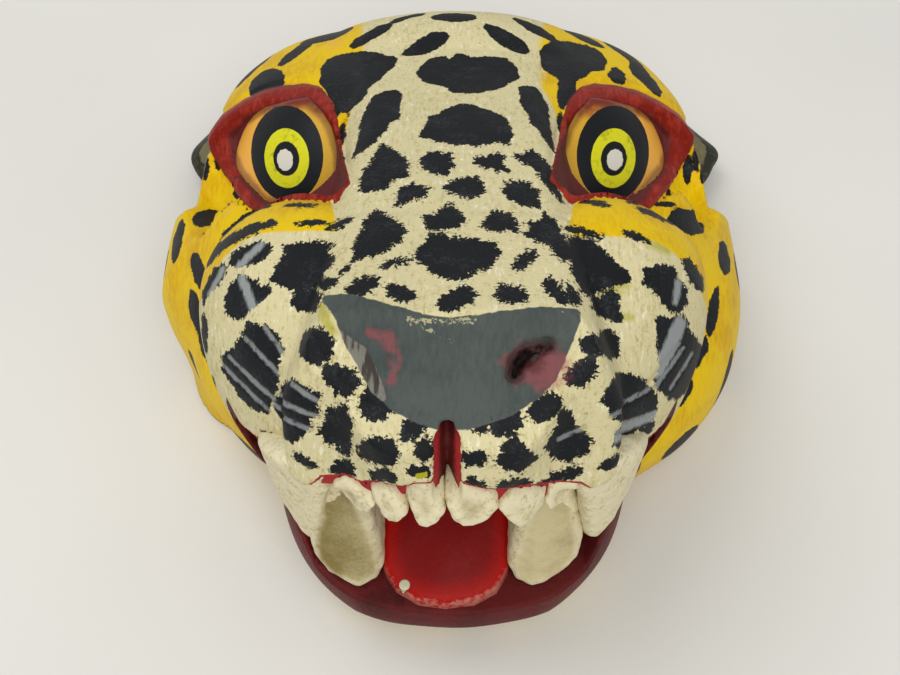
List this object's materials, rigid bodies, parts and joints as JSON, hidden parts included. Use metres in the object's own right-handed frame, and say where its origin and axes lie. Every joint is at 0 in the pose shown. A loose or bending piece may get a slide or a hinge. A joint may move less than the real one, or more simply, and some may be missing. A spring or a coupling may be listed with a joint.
{
  "type": "carved spotted beast mask",
  "caption": "Small hollow-backed carved wooden spotted beast mask with open jaws, let-in teeth, tongue, eyes and ears, lying on its flat back rim.",
  "frame": {"origin": "on the flat back rim's plane, under the middle of the mask's box", "axes": "+X to the viewer's right, +Y up the face to the crown, +Z out of the face to the nose"},
  "size_m": [0.128, 0.1475, 0.0801],
  "materials": {
    "head_paint": "gloss",
    "ear_paint": "gloss",
    "peg_wood": "matte",
    "eye_paint": "gloss",
    "tooth_paint": "satin",
    "tongue_paint": "gloss",
    "nail_metal": "satin"
  },
  "bodies": {
    "root": {"head": "head_paint", "ear_left": "ear_paint", "ear_right": "ear_paint", "ear_peg_left": "peg_wood", "ear_peg_right": "peg_wood", "eye_left": "eye_paint", "eye_right": "eye_paint", "upper_incisor_1": "tooth_paint", "upper_incisor_2": "tooth_paint", "upper_incisor_3": "tooth_paint", "upper_incisor_4": "tooth_paint", "upper_incisor_5": "tooth_paint", "upper_incisor_6": "tooth_paint", "upper_canine_left": "tooth_paint", "upper_canine_right": "tooth_paint", "lower_canine_left": "tooth_paint", "lower_canine_right": "tooth_paint", "tongue": "tongue_paint", "tongue_nail": "nail_metal"}
  },
  "joints": []
}
